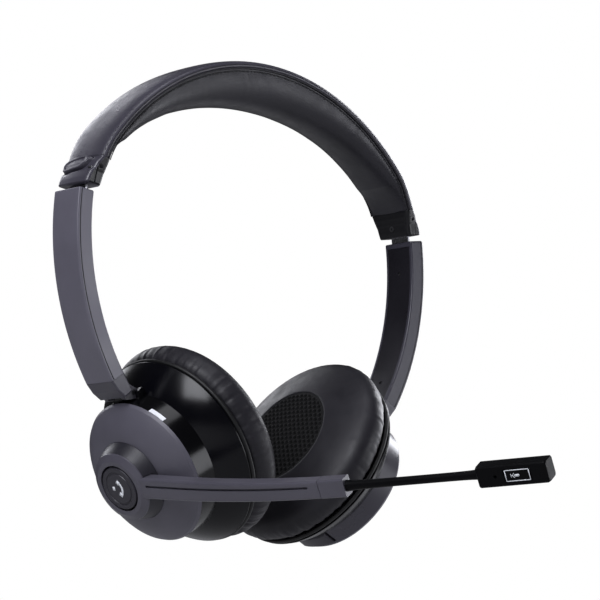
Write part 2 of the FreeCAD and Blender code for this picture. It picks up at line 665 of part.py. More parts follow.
def make_hub():
    axle = turned((2.6, -1.5), (AXLE_R, -1.5), (AXLE_R, 2.6), (7.0, 2.6), (7.0, DOME_HEIGHT - RIM_WALL - LAYER_GAP),
                  (AXLE_R, DOME_HEIGHT - RIM_WALL - LAYER_GAP), (AXLE_R, 8.3), (2.6, 8.3))
    keep("hub_axle", in_cup(axle))
    bore = AXLE_R + PIN_PLAY
    drum = turned((bore, HUB_BASE_Z), (HUB_R, HUB_BASE_Z), (HUB_TOP_R, HUB_STEP_Z), (8.7, HUB_STEP_Z),
                  (8.7, 9.4), (0, 9.4), (0, 8.6), (bore, 8.6))
    window = block(7.0, 20, -BOOM_ROOT_W / 2 - 0.1, BOOM_ROOT_W / 2 + 0.1, BOOM_MID_Z - BOOM_THICK / 2 - 0.1, 20)
    keep("boom_hub", in_boom(drum.cut(window)))
    ring = turned((8.7, HUB_STEP_Z + 0.02), (HUB_TOP_R - 0.05, HUB_STEP_Z + 0.02), (12.6, 11.0), (10.3, HUB_TOP_Z),
                  (8.7, HUB_TOP_Z))
    half = BOOM_THICK / 2
    inside = Part.makeCylinder(8.75, 40, V(0, 0, -10))
    outer = boom_band(6, BOOM_ARM_END, 0.02, half, 6).common(boom_planform())
    outer = round_boom_edges(outer, 0.9, half).cut(inside)
    channel = boom_band(13.5, BOOM_ARM_END - 4.0, half - CHANNEL_DEEP, half + 1, CHANNEL_HALF)
    channel.translate(V(0, CHANNEL_UP, 0))
    keep("boom_arm_outer", in_boom(outer.cut(channel).fuse(ring)))
    inner = boom_band(6, BOOM_ARM_END, -half, 0, 6).common(boom_planform())
    inner = round_boom_edges(inner, 0.8, -half).cut(inside)
    keep("boom_arm_inner", in_boom(inner))
    button = turned((0, 10.2), (BUTTON_R, 10.2), (BUTTON_R, 12.0), ((7.9, 12.35), (7.3, 12.45)), (6.3, 12.45),
                    (6.1, 12.2), (5.7, 12.2), (5.5, 12.5), (0, 12.5))
    keep("answer_button", in_boom(button))


def make_neck_and_mic():
    half = BOOM_THICK / 2
    collar = boom_band(BOOM_ARM_END + 0.2, BOOM_LENGTH, -half, half, BOOM_TIP_W / 2 + 0.15)
    for height in (-half, half):
        collar = round_boom_edges(collar, 0.8, height)
    keep("boom_collar", in_boom(collar))
    middle = BOOM_LENGTH + NECK_LENGTH / 2
    keep("gooseneck_root", in_boom(rod(NECK_R, boom_point(BOOM_LENGTH + 0.05), boom_point(middle - NECK_GAP))))
    keep("gooseneck_tip", in_boom(rod(NECK_R, boom_point(middle + NECK_GAP), boom_point(mic_start() - 0.05))))

    housing = block(0, MIC_LENGTH, -MIC_HALF, MIC_HALF, -MIC_BACK, 2.0)
    housing = softened(housing, 1.2, lambda e: e.Length > MIC_LENGTH - 1 and e.CenterOfMass.z < 0)
    housing = softened(housing, 0.4, lambda e: e.BoundBox.XLength < 0.1 and e.CenterOfMass.z < 0)
    housing = housing.cut(block(1.4, MIC_LENGTH - 1.2, -2.5, 2.5, -1.9, 2.1))
    housing = housing.cut(Part.makeCylinder(0.6, 5, V(19.5, 0, -6)))
    keep("mic_housing", in_mic(housing))
    cover = softened(block(0, MIC_LENGTH, -MIC_HALF, MIC_HALF, 2.05, 3.1), 0.8,
                     lambda e: e.BoundBox.ZLength > 1)
    cover = cover.makeChamfer(0.35, [e for e in cover.Edges if e.BoundBox.ZMin > 3.0])
    cover = cover.cut(block(9.3, 18.9, -2.1, 2.1, 1, 5)).cut(Part.makeCylinder(0.55, 6, V(6.4, 0, -1)))
    keep("mic_cover", in_mic(cover))
    keep("mute_button", in_mic(softened(block(9.45, 18.75, -1.95, 1.95, 0.9, 3.25), 0.3,
                                        lambda e: e.CenterOfMass.z > 3.2)))
    keep("mic_element", in_mic(Part.makeCylinder(2.0, 1.6, V(19.5, 0, -1.85))))


def mic_start():
    return BOOM_LENGTH + NECK_LENGTH


def in_mic(shape):
    """From the capsule's own frame, x along it and z outward, to its place on the boom."""
    turn = FreeCAD.Rotation(V(0, 1, 0), boom_angle(mic_start()))
    return in_boom(moved(shape, FreeCAD.Placement(boom_point(mic_start()), turn)))


def make_all():
    make_headband()
    make_strips()
    make_end_caps()
    make_arms()
    make_disc_covers()
    make_rims()
    make_bells()
    make_speakers()
    make_cushions()
    make_electronics()
    make_hub()
    make_neck_and_mic()


make_all()
os.makedirs("parts", exist_ok=True)
for name, shape in PIECES.items():
    if not shape.isValid():
        print("not valid:", name)
    shape.exportStep("parts/" + name + ".step")
    box = shape.BoundBox
    print(f"{name:20s} solids {len(shape.Solids)} volume {shape.Volume:9.1f}"
          f"  x {box.XMin:7.1f} {box.XMax:7.1f}  y {box.YMin:7.1f} {box.YMax:7.1f}  z {box.ZMin:7.1f} {box.ZMax:7.1f}")
print(len(PIECES), "pieces; tilt axis", pivot_point())
print("boom middle of neck", BOOM_PLACE.multVec(boom_point(BOOM_LENGTH + NECK_LENGTH / 2)),
      "capsule", BOOM_PLACE.multVec(boom_point(mic_start())))
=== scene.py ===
"""Looks of the office headset: skins, cushions, stitching, icons, materials, studio and camera.

Metres, in the row frame: origin midway between the ear cushions, +Z up, the wearer faces -Y.
Names that end in _L are on the boom's side, at -X.
"""

import json
import math

import bmesh
import bpy
import numpy as np
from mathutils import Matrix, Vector


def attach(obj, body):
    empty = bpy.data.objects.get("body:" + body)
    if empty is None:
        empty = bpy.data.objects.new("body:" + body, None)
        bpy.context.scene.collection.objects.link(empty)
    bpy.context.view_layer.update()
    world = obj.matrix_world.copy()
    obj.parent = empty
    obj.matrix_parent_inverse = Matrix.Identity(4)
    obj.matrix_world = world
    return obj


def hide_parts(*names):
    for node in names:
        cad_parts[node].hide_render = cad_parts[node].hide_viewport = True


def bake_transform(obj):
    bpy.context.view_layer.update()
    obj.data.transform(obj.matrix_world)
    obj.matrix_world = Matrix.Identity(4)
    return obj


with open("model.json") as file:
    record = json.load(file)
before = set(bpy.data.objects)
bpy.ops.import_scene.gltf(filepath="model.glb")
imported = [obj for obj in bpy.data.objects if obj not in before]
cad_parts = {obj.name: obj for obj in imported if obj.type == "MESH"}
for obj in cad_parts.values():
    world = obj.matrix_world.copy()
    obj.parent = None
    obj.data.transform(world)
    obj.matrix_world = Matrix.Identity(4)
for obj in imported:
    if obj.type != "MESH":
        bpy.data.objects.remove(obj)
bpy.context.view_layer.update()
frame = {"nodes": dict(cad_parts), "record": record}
NODES = frame["nodes"]
MM = 0.001

# headband curve, in millimetres: the same arcs as the CAD's
EAR_DROP = 46.0
R_TOP, R_SHOULDER, R_ARM = 97.9, 44.6, 98.7
PHI_TOP, PHI_SHOULDER = 49.2, 78.5
PHI_BAND = 70.0

# ear cups and boom, in millimetres and degrees; a cup's own frame has x forward, y up its plane, z outward
CUP_TILT = math.radians(28.5)
CUP_X, CUP_Z = 49.6, -14.0
BOOM_DOWN = math.radians(5.74)
BOOM_MID_Z = 9.5
BOOM_STRAIGHT = 30.0
BOOM_BEND = 14.48
BOOM_LENGTH = 99.0
NECK_LENGTH = 48.2
NECK_BEND = 0.97

# headband upholstery
CUSHION_SEAM = 8.0
CUSHION_HALF = 10.7
CUSHION_THIN, CUSHION_SWELL = 8.8, 12.2
TAPER_FROM, TAPER_SHARE = 46.0, 0.09
STITCH_LENGTH, STITCH_RADIUS, STITCHES_IN_ROW = 1.6, 0.15, 96
EDGE_PIPING = ((7.75, 11.05, 0.42), (6.55, 11.32, 0.16), (8.75, 10.75, 0.16))    # inset, y, radius

# end caps: angles along the headband curve, and points round each ring's outline
CAP_TOP, CAP_FOOT = 69.6, 81.2
CAP_CORNER = 1.7
FACE_POINTS, SIDE_POINTS, BACK_POINTS, CORNER_POINTS = 74, 18, 30, 6

# arm parting lines
ARM_TOP, ARM_END = 83.0, 122.8
SEAM_INSET, SEAM_HALF, SEAM_RADIUS = 1.2, 6.95, 0.2

# ear cushions
PAD_HOLE_R = 19.2
PAD_RING_R, PAD_RING_Z, PAD_RING_RADIUS = 34.6, -18.9, 0.85
CENTRE_R, CENTRE_Z, CENTRE_BACK_Z = 19.1, -37.1, -33.2
HOLE_PITCH, HOLE_ROW, HOLE_R, HOLE_DEPTH = 2.2, 2.2 * 0.866, 0.72, 0.6

# printed symbols: how far they stand out of the buttons and reach into them, and the buttons' faces
PRINT_UP, PRINT_DOWN = 0.05, 0.1
ANSWER_TOP, MUTE_TOP = 12.5, 3.25

# studio, in metres and watts: name, place, width and height, power
LAMPS = (
    ("key", (-1.0, -0.42, 0.75), (0.6, 0.8), 16.0),
    ("top", (-0.1, -0.2, 1.1), (0.7, 0.5), 3.5),
    ("front", (0.7, -1.05, 0.12), (0.5, 0.5), 4.0),
    ("right", (0.95, -0.35, 0.0), (0.5, 0.3), 2.0),
    ("side", (1.1, 0.15, 0.4), (0.4, 0.7), 8.0),
    ("back", (0.2, 1.2, 0.7), (0.8, 0.5), 5.0),
)
LAMP_COLOR = (0.94, 0.95, 1.0)
LAMPS_AIM = (0, 0, 0.05)
FLOOR_Z, FLOOR_REACH = -0.17, 15.0
CAMERA_AZIMUTH, CAMERA_ELEVATION = math.radians(-43.6), math.radians(-8.0)
CAMERA_AIM = (0.0262, 0.0, 0.0547)
CAMERA_DISTANCE = 0.991
CAMERA_LENS = 159.2

noise_source = np.random.default_rng(7)


# ---------------------------------------------------------------- places


def curve_points(phi, inset):
    """(x, z) of points at phi degrees from +Z along the headband curve, inset inwards."""
    phi = np.asarray(phi, float)
    side, angle = np.where(phi < 0, -1.0, 1.0), np.abs(phi)
    top, shoulder = math.radians(PHI_TOP), math.radians(PHI_SHOULDER)
    x_1 = (R_TOP - R_SHOULDER) * math.sin(top)
    z_1 = EAR_DROP + (R_TOP - R_SHOULDER) * math.cos(top)
    x_2 = x_1 + (R_SHOULDER - R_ARM) * math.sin(shoulder)
    z_2 = z_1 + (R_SHOULDER - R_ARM) * math.cos(shoulder)
    where = [angle <= PHI_TOP, angle <= PHI_SHOULDER]
    centre_x = np.select(where, [0.0, x_1], x_2)
    centre_z = np.select(where, [EAR_DROP, z_1], z_2)
    radius = np.select(where, [R_TOP, R_SHOULDER], R_ARM) - inset
    a = np.radians(angle)
    return side * (centre_x + radius * np.sin(a)), centre_z + radius * np.cos(a)


def even_angles(phi_a, phi_b, count):
    """Angles from phi_a to phi_b that are evenly spaced along the curve itself."""
    fine = np.linspace(phi_a, phi_b, 2000)
    x, z = curve_points(fine, 6.0)
    travelled = np.concatenate([[0.0], np.cumsum(np.hypot(np.diff(x), np.diff(z)))])
    return np.interp(np.linspace(0, travelled[-1], count), travelled, fine)


def in_cup(points, side=-1):
    """Cup-frame millimetres to row-frame metres. side is -1 for L and 1 for R."""
    p = np.asarray(points, float)
    x, y, z = p[..., 0], p[..., 1], p[..., 2]
    sin_t, cos_t = math.sin(CUP_TILT), math.cos(CUP_TILT)
    row_x = -CUP_X - y * sin_t - z * cos_t
    row_z = CUP_Z + y * cos_t - z * sin_t
    return np.stack([-side * row_x, -x, row_z], -1) * MM


def in_boom(points):
    """Boom-frame millimetres to row-frame metres: x ahead along the boom, y across, z outward."""
    p = np.asarray(points, float)
    c, s = math.cos(BOOM_DOWN), math.sin(BOOM_DOWN)
    turned = np.stack([c * p[..., 0] + s * p[..., 1], c * p[..., 1] - s * p[..., 0], p[..., 2]], -1)
    return in_cup(turned)


def boom_angle(distance):
    """How far the boom has turned inwards at this distance, in degrees."""
    if distance <= BOOM_STRAIGHT:
        return 0.0
    if distance <= BOOM_LENGTH:
        return BOOM_BEND * (distance - BOOM_STRAIGHT) / (BOOM_LENGTH - BOOM_STRAIGHT)
    return BOOM_BEND + NECK_BEND * min(1.0, (distance - BOOM_LENGTH) / NECK_LENGTH)


def boom_point(distance, outward=0.0, across=0.0):
    """Point along the boom's centreline, in the boom's frame."""
    if distance <= BOOM_STRAIGHT:
        return np.array([distance, across, BOOM_MID_Z + outward])
    a = math.radians(boom_angle(distance))
    if distance <= BOOM_LENGTH:
        radius = (BOOM_LENGTH - BOOM_STRAIGHT) / math.radians(BOOM_BEND)
        return np.array([BOOM_STRAIGHT + (radius + outward) * math.sin(a), across,
                         BOOM_MID_Z - radius + (radius + outward) * math.cos(a)])
    start = boom_point(BOOM_LENGTH)
    middle = math.radians((BOOM_BEND + boom_angle(distance)) / 2)
    run = distance - BOOM_LENGTH
    return start + np.array([run * math.cos(middle) + outward * math.sin(a), across,
                             -run * math.sin(middle) + outward * math.cos(a)])


def in_mic(points):
    """Capsule-frame millimetres to row-frame metres: x along the capsule, z outward."""
    p = np.asarray(points, float)
    a = math.radians(boom_angle(BOOM_LENGTH + NECK_LENGTH))
    start = boom_point(BOOM_LENGTH + NECK_LENGTH)
    turned = np.stack([start[0] + p[..., 0] * math.cos(a) + p[..., 2] * math.sin(a), p[..., 1],
                       start[2] - p[..., 0] * math.sin(a) + p[..., 2] * math.cos(a)], -1)
    return in_boom(turned)


# ---------------------------------------------------------------- meshes


def piece(name, vertices, faces, body, slot, material, closed=True):
    """A smooth mesh piece that rides on a body."""
    mesh = bpy.data.meshes.new(name)
    mesh.from_pydata([tuple(v) for v in np.asarray(vertices).reshape(-1, 3)], [], [tuple(f) for f in faces])
    if closed:
        edit = bmesh.new()
        edit.from_mesh(mesh)
        bmesh.ops.recalc_face_normals(edit, faces=edit.faces)
        edit.to_mesh(mesh)
        edit.free()
    mesh.shade_smooth()
    mesh.materials.append(material)
    obj = bpy.data.objects.new(name, mesh)
    bpy.context.scene.collection.objects.link(obj)
    if body:
        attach(obj, body)
    return obj


def grid_faces(rows, columns, wrap_rows=False, wrap_columns=True, first=0):
    """Quads over a grid of points stored row by row."""
    faces = []
    for i in range(rows if wrap_rows else rows - 1):
        for j in range(columns if wrap_columns else columns - 1):
            k, m = (i + 1) % rows, (j + 1) % columns
            faces.append((first + i * columns + j, first + i * columns + m,
                          first + k * columns + m, first + k * columns + j))
    return faces


def tube_mesh(rings):
    """Vertices and faces of a closed tube through rings of points, with flat ends."""
    rows, columns = rings.shape[:2]
    faces = grid_faces(rows, columns)
    faces.append(tuple(range(columns)))
    faces.append(tuple(range((rows - 1) * columns, rows * columns)))
    return rings.reshape(-1, 3), faces


def smooth_path(points, count):
    """A Catmull-Rom line through the points, with count samples."""
    p = np.asarray(points, float)
    p = np.vstack([2 * p[0] - p[1], p, 2 * p[-1] - p[-2]])
    u = np.linspace(0, len(p) - 3 - 1e-6, count)
    i = u.astype(int)
    t = (u - i)[:, None]
    a, b, c, d = p[i], p[i + 1], p[i + 2], p[i + 3]
    square, cube = 2 * a - 5 * b + 4 * c - d, 3 * b - a - 3 * c + d
    return 0.5 * (2 * b + (c - a) * t + square * t ** 2 + cube * t ** 3)


def ring_noise(angle, cells):
    """Smooth repeating noise around a circle, from -1 to 1."""
    values = noise_source.uniform(-1, 1, cells)
    u = (np.asarray(angle) / (2 * math.pi) % 1.0) * cells
    i = np.floor(u).astype(int)
    t = u - i
    t = t * t * (3 - 2 * t)
    return values[i % cells] * (1 - t) + values[(i + 1) % cells] * t


def line_noise(u, cells):
    """The same along a line, with u from 0 to 1."""
    return ring_noise(np.asarray(u) * 2 * math.pi * 0.999, cells)


def beads(centres, along, length, radius, sides=6):
    """Many small rounded bars, as one mesh. along holds each bar's direction."""
    vertices, faces = [], []
    profile = [(-0.5, 0.15), (-0.42, 0.75), (-0.2, 1.0), (0.2, 1.0), (0.42, 0.75), (0.5, 0.15)]
    for centre, direction in zip(centres, along):
        direction = direction / np.linalg.norm(direction)
        spare = np.array([0.0, 0.0, 1.0]) if abs(direction[2]) < 0.9 else np.array([0.0, 1.0, 0.0])
        a = np.cross(direction, spare)
        a /= np.linalg.norm(a)
        b = np.cross(direction, a)
        turn = 2 * math.pi * np.arange(sides) / sides
        rings = np.array([centre + direction * u * length
                          + r * radius * (np.cos(turn)[:, None] * a + np.sin(turn)[:, None] * b)
                          for u, r in profile])
        bar_vertices, bar_faces = tube_mesh(rings)
        first = len(vertices)
        vertices.extend(bar_vertices)
        faces.extend(tuple(first + k for k in face) for face in bar_faces)
    return np.array(vertices), faces


def round_tube(path, radius, sides=10, closed=False):
    """Tube of round section along a path of points. radius is one number, or one for each point."""
    path = np.asarray(path, float)
    ahead = np.gradient(path, axis=0)
    if closed:
        ahead = np.roll(path, -1, 0) - np.roll(path, 1, 0)
    ahead /= np.linalg.norm(ahead, axis=1)[:, None]
    spare = np.array([0.0, 1.0, 0.0]) if abs(ahead[:, 1]).max() < 0.95 else np.array([0.12, 0.05, 1.0])
    a = np.cross(ahead, spare)
    a /= np.linalg.norm(a, axis=1)[:, None]
    b = np.cross(ahead, a)
    turn = 2 * math.pi * np.arange(sides) / sides
    size = np.broadcast_to(radius, len(path))[:, None, None]
    cos, sin = np.cos(turn)[None, :, None], np.sin(turn)[None, :, None]
    rings = path[:, None] + size * (cos * a[:, None] + sin * b[:, None])
    if closed:
        return rings.reshape(-1, 3), grid_faces(len(path), sides, wrap_rows=True)
    return tube_mesh(rings)


# ---------------------------------------------------------------- materials


def shader(name, color, roughness, **sockets):
    """A new material and its shader node, with these constant sockets set on the shader itself."""
    material = bpy.data.materials.new(name)
    material.use_nodes = True
    node = material.node_tree.nodes["Principled BSDF"]
    node.inputs["Base Color"].default_value = (*color, 1.0)
    node.inputs["Roughness"].default_value = roughness
    for key, value in sockets.items():
        node.inputs[key.replace("_", " ")].default_value = value
    return material, node


def texture(material, kind, scale, **values):
    """A procedural texture in object coordinates. scale is in features per metre."""
    nodes, links = material.node_tree.nodes, material.node_tree.links
    where = nodes.get("Texture Coordinate") or nodes.new("ShaderNodeTexCoord")
    node = nodes.new("ShaderNodeTex" + kind)
    links.new(where.outputs["Object"], node.inputs["Vector"])
    node.inputs["Scale"].default_value = scale
    for key, value in values.items():
        if key in node.inputs:
            node.inputs[key].default_value = value
        else:
            setattr(node, key, value)
    return node


def ramp(material, source, low, high, at=(0.0, 1.0)):
    """Map a 0 to 1 output onto two colours or two numbers."""
    node = material.node_tree.nodes.new("ShaderNodeValToRGB")
    for element, value, place in zip(node.color_ramp.elements, (low, high), at):
        element.position = place
        element.color = (*value, 1.0) if isinstance(value, tuple) else (value, value, value, 1.0)
    material.node_tree.links.new(source, node.inputs["Fac"])
    return node.outputs["Color"]


def bumps(material, shader_node, layers):
    """Stack bump layers: (height output, strength, distance in metres)."""
    nodes, links = material.node_tree.nodes, material.node_tree.links
    normal = None
    for height, strength, distance in layers:
        bump = nodes.new("ShaderNodeBump")
        bump.inputs["Strength"].default_value = strength
        bump.inputs["Distance"].default_value = distance
        links.new(height, bump.inputs["Height"])
        if normal:
            links.new(normal, bump.inputs["Normal"])
        normal = bump.outputs["Normal"]
    links.new(normal, shader_node.inputs["Normal"])


def vary(material, shader_node, socket, source, low, high, at=(0.3, 0.7)):
    """Let a texture's output move a shader socket between two values."""
    material.node_tree.links.new(ramp(material, source, low, high, at), shader_node.inputs[socket])


def tinted(color, factor):
    """A colour made darker or lighter."""
    return tuple(c * factor for c in color)


def moulded_plastic(name, color, roughness, grain=0.25, **sockets):
    """Fine spark-eroded grain, faint mould unevenness and slight handling wear."""
    material, node = shader(name, color, roughness, **sockets)
    fine = texture(material, "Noise", 5200.0, Detail=3.0, Roughness=0.7)
    broad = texture(material, "Noise", 55.0, Detail=4.0)
    vary(material, node, "Base Color", broad.outputs["Fac"], tinted(color, 0.93), tinted(color, 1.06))
    vary(material, node, "Roughness", broad.outputs["Fac"], roughness - 0.05, roughness + 0.06)
    bumps(material, node, [(fine.outputs["Fac"], grain, 0.00004), (broad.outputs["Fac"], 0.08, 0.0004)])
    return material


def leatherette(name, color, roughness, **sockets):
    """Soft embossed leatherette: pebble cells, pores and broad soft creases."""
    material, node = shader(name, color, roughness, **sockets)
    cells = texture(material, "Voronoi", 1500.0, Randomness=1.0, feature="DISTANCE_TO_EDGE")
    pores = texture(material, "Noise", 4200.0, Detail=4.0, Roughness=0.65)
    creases = texture(material, "Noise", 170.0, Detail=5.0, Distortion=0.6)
    broad = texture(material, "Noise", 40.0, Detail=3.0)
    edge = ramp(material, cells.outputs["Distance"], 0.0, 1.0, (0.0, 0.16))
    vary(material, node, "Base Color", broad.outputs["Fac"], tinted(color, 0.85), tinted(color, 1.15))
    vary(material, node, "Roughness", creases.outputs["Fac"], roughness - 0.07, roughness + 0.08)
    bumps(material, node, [(edge, 0.22, 0.00006), (pores.outputs["Fac"], 0.15, 0.00004),
                           (creases.outputs["Fac"], 0.12, 0.0004)])
    return material


def brushed_metal(name, color, roughness):
    """Metal with fine lines drawn out along z."""
    material, node = shader(name, color, roughness, Metallic=1.0)
    lines = texture(material, "Noise", 900.0, Detail=3.0)
    stretch = material.node_tree.nodes.new("ShaderNodeMapping")
    stretch.inputs["Scale"].default_value = (3.0, 3.0, 0.06)
    where = material.node_tree.nodes["Texture Coordinate"]
    material.node_tree.links.new(where.outputs["Object"], stretch.inputs["Vector"])
    material.node_tree.links.new(stretch.outputs["Vector"], lines.inputs["Vector"])
    vary(material, node, "Roughness", lines.outputs["Fac"], roughness - 0.08, roughness + 0.12)
    bumps(material, node, [(lines.outputs["Fac"], 0.12, 0.00003)])
    return material


def knitted(name, color):
    """Fine woven mesh cloth."""
    material, node = shader(name, color, 0.75,
                            Sheen_Weight=0.08, Sheen_Roughness=0.5, Specular_IOR_Level=0.25)
    weave = texture(material, "Voronoi", 2600.0, Randomness=0.15)
    fuzz = texture(material, "Noise", 3000.0, Detail=3.0)
    vary(material, node, "Base Color", weave.outputs["Distance"],
         tinted(color, 1.5), tinted(color, 0.5), (0.1, 0.6))
    bumps(material, node, [(weave.outputs["Distance"], 0.6, 0.00012), (fuzz.outputs["Fac"], 0.2, 0.00005)])
    return material


SLATE = moulded_plastic("slate_plastic", (0.106, 0.102, 0.127), 0.42)
# satin slate of the end caps; on the far cup's rim, this lighter copy of the black rim is a painted
# reflection
SLATE_SATIN_AND_LIT_RIM = moulded_plastic("slate_satin_and_lit_rim", (0.060, 0.057, 0.074), 0.3)
SLATE_BOOM = moulded_plastic("slate_plastic_boom", (0.092, 0.088, 0.110), 0.36)
HUB_DARK = moulded_plastic("hub_charcoal", (0.026, 0.025, 0.033), 0.4)
CHARCOAL = moulded_plastic("charcoal_plastic", (0.034, 0.032, 0.042), 0.42)
SLATE_FORK = moulded_plastic("slate_plastic_fork", (0.070, 0.067, 0.084), 0.38)
DARK = moulded_plastic("black_plastic", (0.018, 0.018, 0.021), 0.45)
DARK_SATIN = moulded_plastic("black_plastic_satin", (0.007, 0.007, 0.009), 0.32,
                             grain=0.1, Specular_IOR_Level=0.4)
MIC_BLACK = moulded_plastic("mic_black", (0.003, 0.003, 0.004), 0.42, grain=0.2, Specular_IOR_Level=0.1)
ARM_INNER = moulded_plastic("arm_inner_black", (0.014, 0.013, 0.018), 0.3, grain=0.1)
# the arm slate comes in two copies: a dark one on the far arm as painted shade, and a light one on the near
# arm as painted light
ARM_SHADED_COPY = moulded_plastic("slate_arm_shade", (0.050, 0.048, 0.064), 0.34)
ARM_LIT_COPY = moulded_plastic("slate_arm", (0.134, 0.129, 0.159), 0.36)
BELL_GLOSS = moulded_plastic("bell_black", (0.002, 0.002, 0.004), 0.22, grain=0.0, Specular_IOR_Level=0.3)
GLOSS = moulded_plastic("gloss_black", (0.003, 0.003, 0.004), 0.16, grain=0.0, Specular_IOR_Level=0.3)
BAND_LEATHER = leatherette("band_leatherette", (0.060, 0.057, 0.074), 0.34)
BAND_INNER = leatherette("band_inner_leatherette", (0.026, 0.025, 0.032), 0.36, Specular_IOR_Level=0.4)
PAD_LEATHER = leatherette("pad_leatherette", (0.019, 0.018, 0.023), 0.46, Specular_IOR_Level=0.34)
PIPING = leatherette("pad_piping_leatherette", (0.004, 0.004, 0.005), 0.5)
THREAD = leatherette("stitch_thread", (0.016, 0.016, 0.020), 0.6)
MESH_CLOTH = knitted("pad_mesh_cloth", (0.006, 0.006, 0.007))
# near-black cloth for the hole floors: painted shade in the holes
HOLE_SHADE = knitted("pad_mesh_hole_shade", (0.002, 0.002, 0.002))
STEEL = brushed_metal("brushed_steel", (0.62, 0.62, 0.65), 0.25)
STRIP = brushed_metal("strip_steel", (0.36, 0.36, 0.38), 0.3)
SCREW = brushed_metal("blackened_screw", (0.16, 0.16, 0.17), 0.35)
RUBBER = moulded_plastic("neck_rubber", (0.002, 0.002, 0.003), 0.5, grain=0.3, Specular_IOR_Level=0.12)
WHITE = moulded_plastic("white_print", (0.80, 0.82, 0.86), 0.4, grain=0.1)
BOARD = moulded_plastic("circuit_board_green", (0.02, 0.10, 0.05), 0.4)
CELL = brushed_metal("cell_foil", (0.55, 0.56, 0.58), 0.35)
WIRE_RED = moulded_plastic("wire_red", (0.30, 0.04, 0.03), 0.4)

BY_SLOT = {
    "shell": SLATE, "shell_dark": DARK, "gloss": GLOSS, "leatherette": BAND_LEATHER, "pad_cloth": MESH_CLOTH,
    "steel": STEEL, "screw": SCREW, "neck_rubber": RUBBER, "window": WHITE, "board": BOARD, "cell": CELL,
    "magnet": SCREW, "wire": WIRE_RED,
}
BY_NODE = {
    # the far rim gets the lighter slate satin while the near rim is gloss black: a painted reflection on the
    # same black part
    "rim_housing_L": GLOSS, "rim_housing_R": SLATE_SATIN_AND_LIT_RIM,
    "bell_shell_L": BELL_GLOSS, "bell_shell_R": BELL_GLOSS,
    # the two arm shells are one part mirrored: the near shell's lighter copy is painted light, and the far
    # shell's darker copy is painted shade
    "arm_shell_L": ARM_LIT_COPY, "arm_shell_R": ARM_SHADED_COPY, "arm_cover_L": ARM_INNER, "arm_cover_R": ARM_INNER,
    "arm_fork_L": SLATE_FORK, "arm_fork_R": SLATE_FORK, "tilt_pin_L": DARK, "tilt_pin_R": DARK,
    "slider_strip_L": STRIP, "slider_strip_R": STRIP, "volume_rocker": CHARCOAL, "answer_button": CHARCOAL,
    "boom_arm_outer": SLATE_BOOM, "boom_arm_inner": SLATE_BOOM, "boom_collar": SLATE_BOOM,
    "boom_hub": HUB_DARK, "mic_housing": MIC_BLACK, "mic_cover": MIC_BLACK, "mute_button": MIC_BLACK,
}


def dress_nodes():
    """Give every CAD node the material of its name, or else of its slot."""
    slots = {part["node"]: part["material_slot"] for part in frame["record"]["subparts"]}
    for name, node in NODES.items():
        material = BY_NODE.get(name) or BY_SLOT[slots[name]]
        for k in range(len(node.material_slots)):
            node.material_slots[k].material = material


# ---------------------------------------------------------------- headband


def cushion_inset(phi):
    """How far the cushion's fullest line lies inside the curve."""
    share = np.cos(np.radians(90.0 * np.asarray(phi) / (PHI_BAND + 4.0)))
    return CUSHION_THIN + CUSHION_SWELL * share ** 1.6


def taper(phi):
    """The band narrows a little towards its end caps."""
    t = np.clip((np.abs(phi) - TAPER_FROM) / (PHI_BAND - TAPER_FROM), 0, 1)
    return 1 - TAPER_SHARE * t * t * (3 - 2 * t)


def cushion_edge(phi, below):
    """A line on the cushion's side, at most this far below its sewn edge: insets and half widths."""
    depth = cushion_inset(phi) - CUSHION_SEAM
    drop = np.minimum(below, 0.5 * depth)
    rise = (drop / depth) ** 1.25
    return CUSHION_SEAM + drop, CUSHION_HALF * (1 - rise ** 2) ** 0.4


def band_rings(phi, sections):
    """Row-frame rings from sections: for each phi, an array of (inset, y) points."""
    rings = []
    for angle, section in zip(phi, sections):
        x, z = curve_points(np.full(len(section), angle), section[:, 0])
        rings.append(np.stack([x, section[:, 1] * taper(angle), z], -1) * MM)
    return np.array(rings)


def make_band_cover():
    """Outer skin: a crowned strip whose long edges roll under to the seam."""
    phi = even_angles(-PHI_BAND, PHI_BAND, 260)
    half = smooth_path([(4.35, 0.0), (4.45, 5.0), (4.8, 8.6), (5.35, 10.5), (6.3, 11.3), (7.2, 11.25),
                        (7.55, 10.6), (7.4, 9.0), (7.3, 0.0)], 34)
    section = np.vstack([half, half[-2:0:-1] * [1, -1]])
    rings = band_rings(phi, [section] * len(phi))
    obj = piece("band_cover_skin", *tube_mesh(rings), "headband", "leatherette", BAND_LEATHER)
    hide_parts("headband_cover")


def make_band_cushion():
    """Inner cushion: a long pillow, fullest at the crown, gathered along its two sewn edges."""
    count = 420
    phi = even_angles(-PHI_BAND, PHI_BAND, count)
    along = np.linspace(0, 1, count)
    turn = np.linspace(0, math.pi, 44)
    soft = 2.0 / 2.5
    y_unit = np.sign(np.cos(turn)) * np.abs(np.cos(turn)) ** soft
    depth_unit = np.abs(np.sin(turn)) ** soft
    broad = line_noise(along, 26)
    puckers = line_noise(along, 95)
    puckers_far = line_noise(along, 95)
    sections = []
    for k, angle in enumerate(phi):
        depth = float(cushion_inset(angle)) - CUSHION_SEAM
        near_edge = np.exp(-((1 - np.abs(y_unit)) / 0.10)) * (np.abs(y_unit) < 0.999)
        gather = np.where(y_unit < 0, puckers[k], puckers_far[k]) * near_edge * 0.05
        slack = 0.07 * broad[k] * depth_unit ** 2
        inset = CUSHION_SEAM + depth * depth_unit + (slack + gather) * min(1.0, depth / 4.0)
        y = CUSHION_HALF * y_unit + gather * np.sign(y_unit) * 0.6
        back = np.array([(7.45, -10.9), (7.45, 10.9)])
        sections.append(np.vstack([np.stack([inset, y], -1), back]))
    rings = band_rings(phi, sections)
    obj = piece("band_cushion_skin", *tube_mesh(rings), "headband", "leatherette", BAND_INNER)
    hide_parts("headband_cushion")


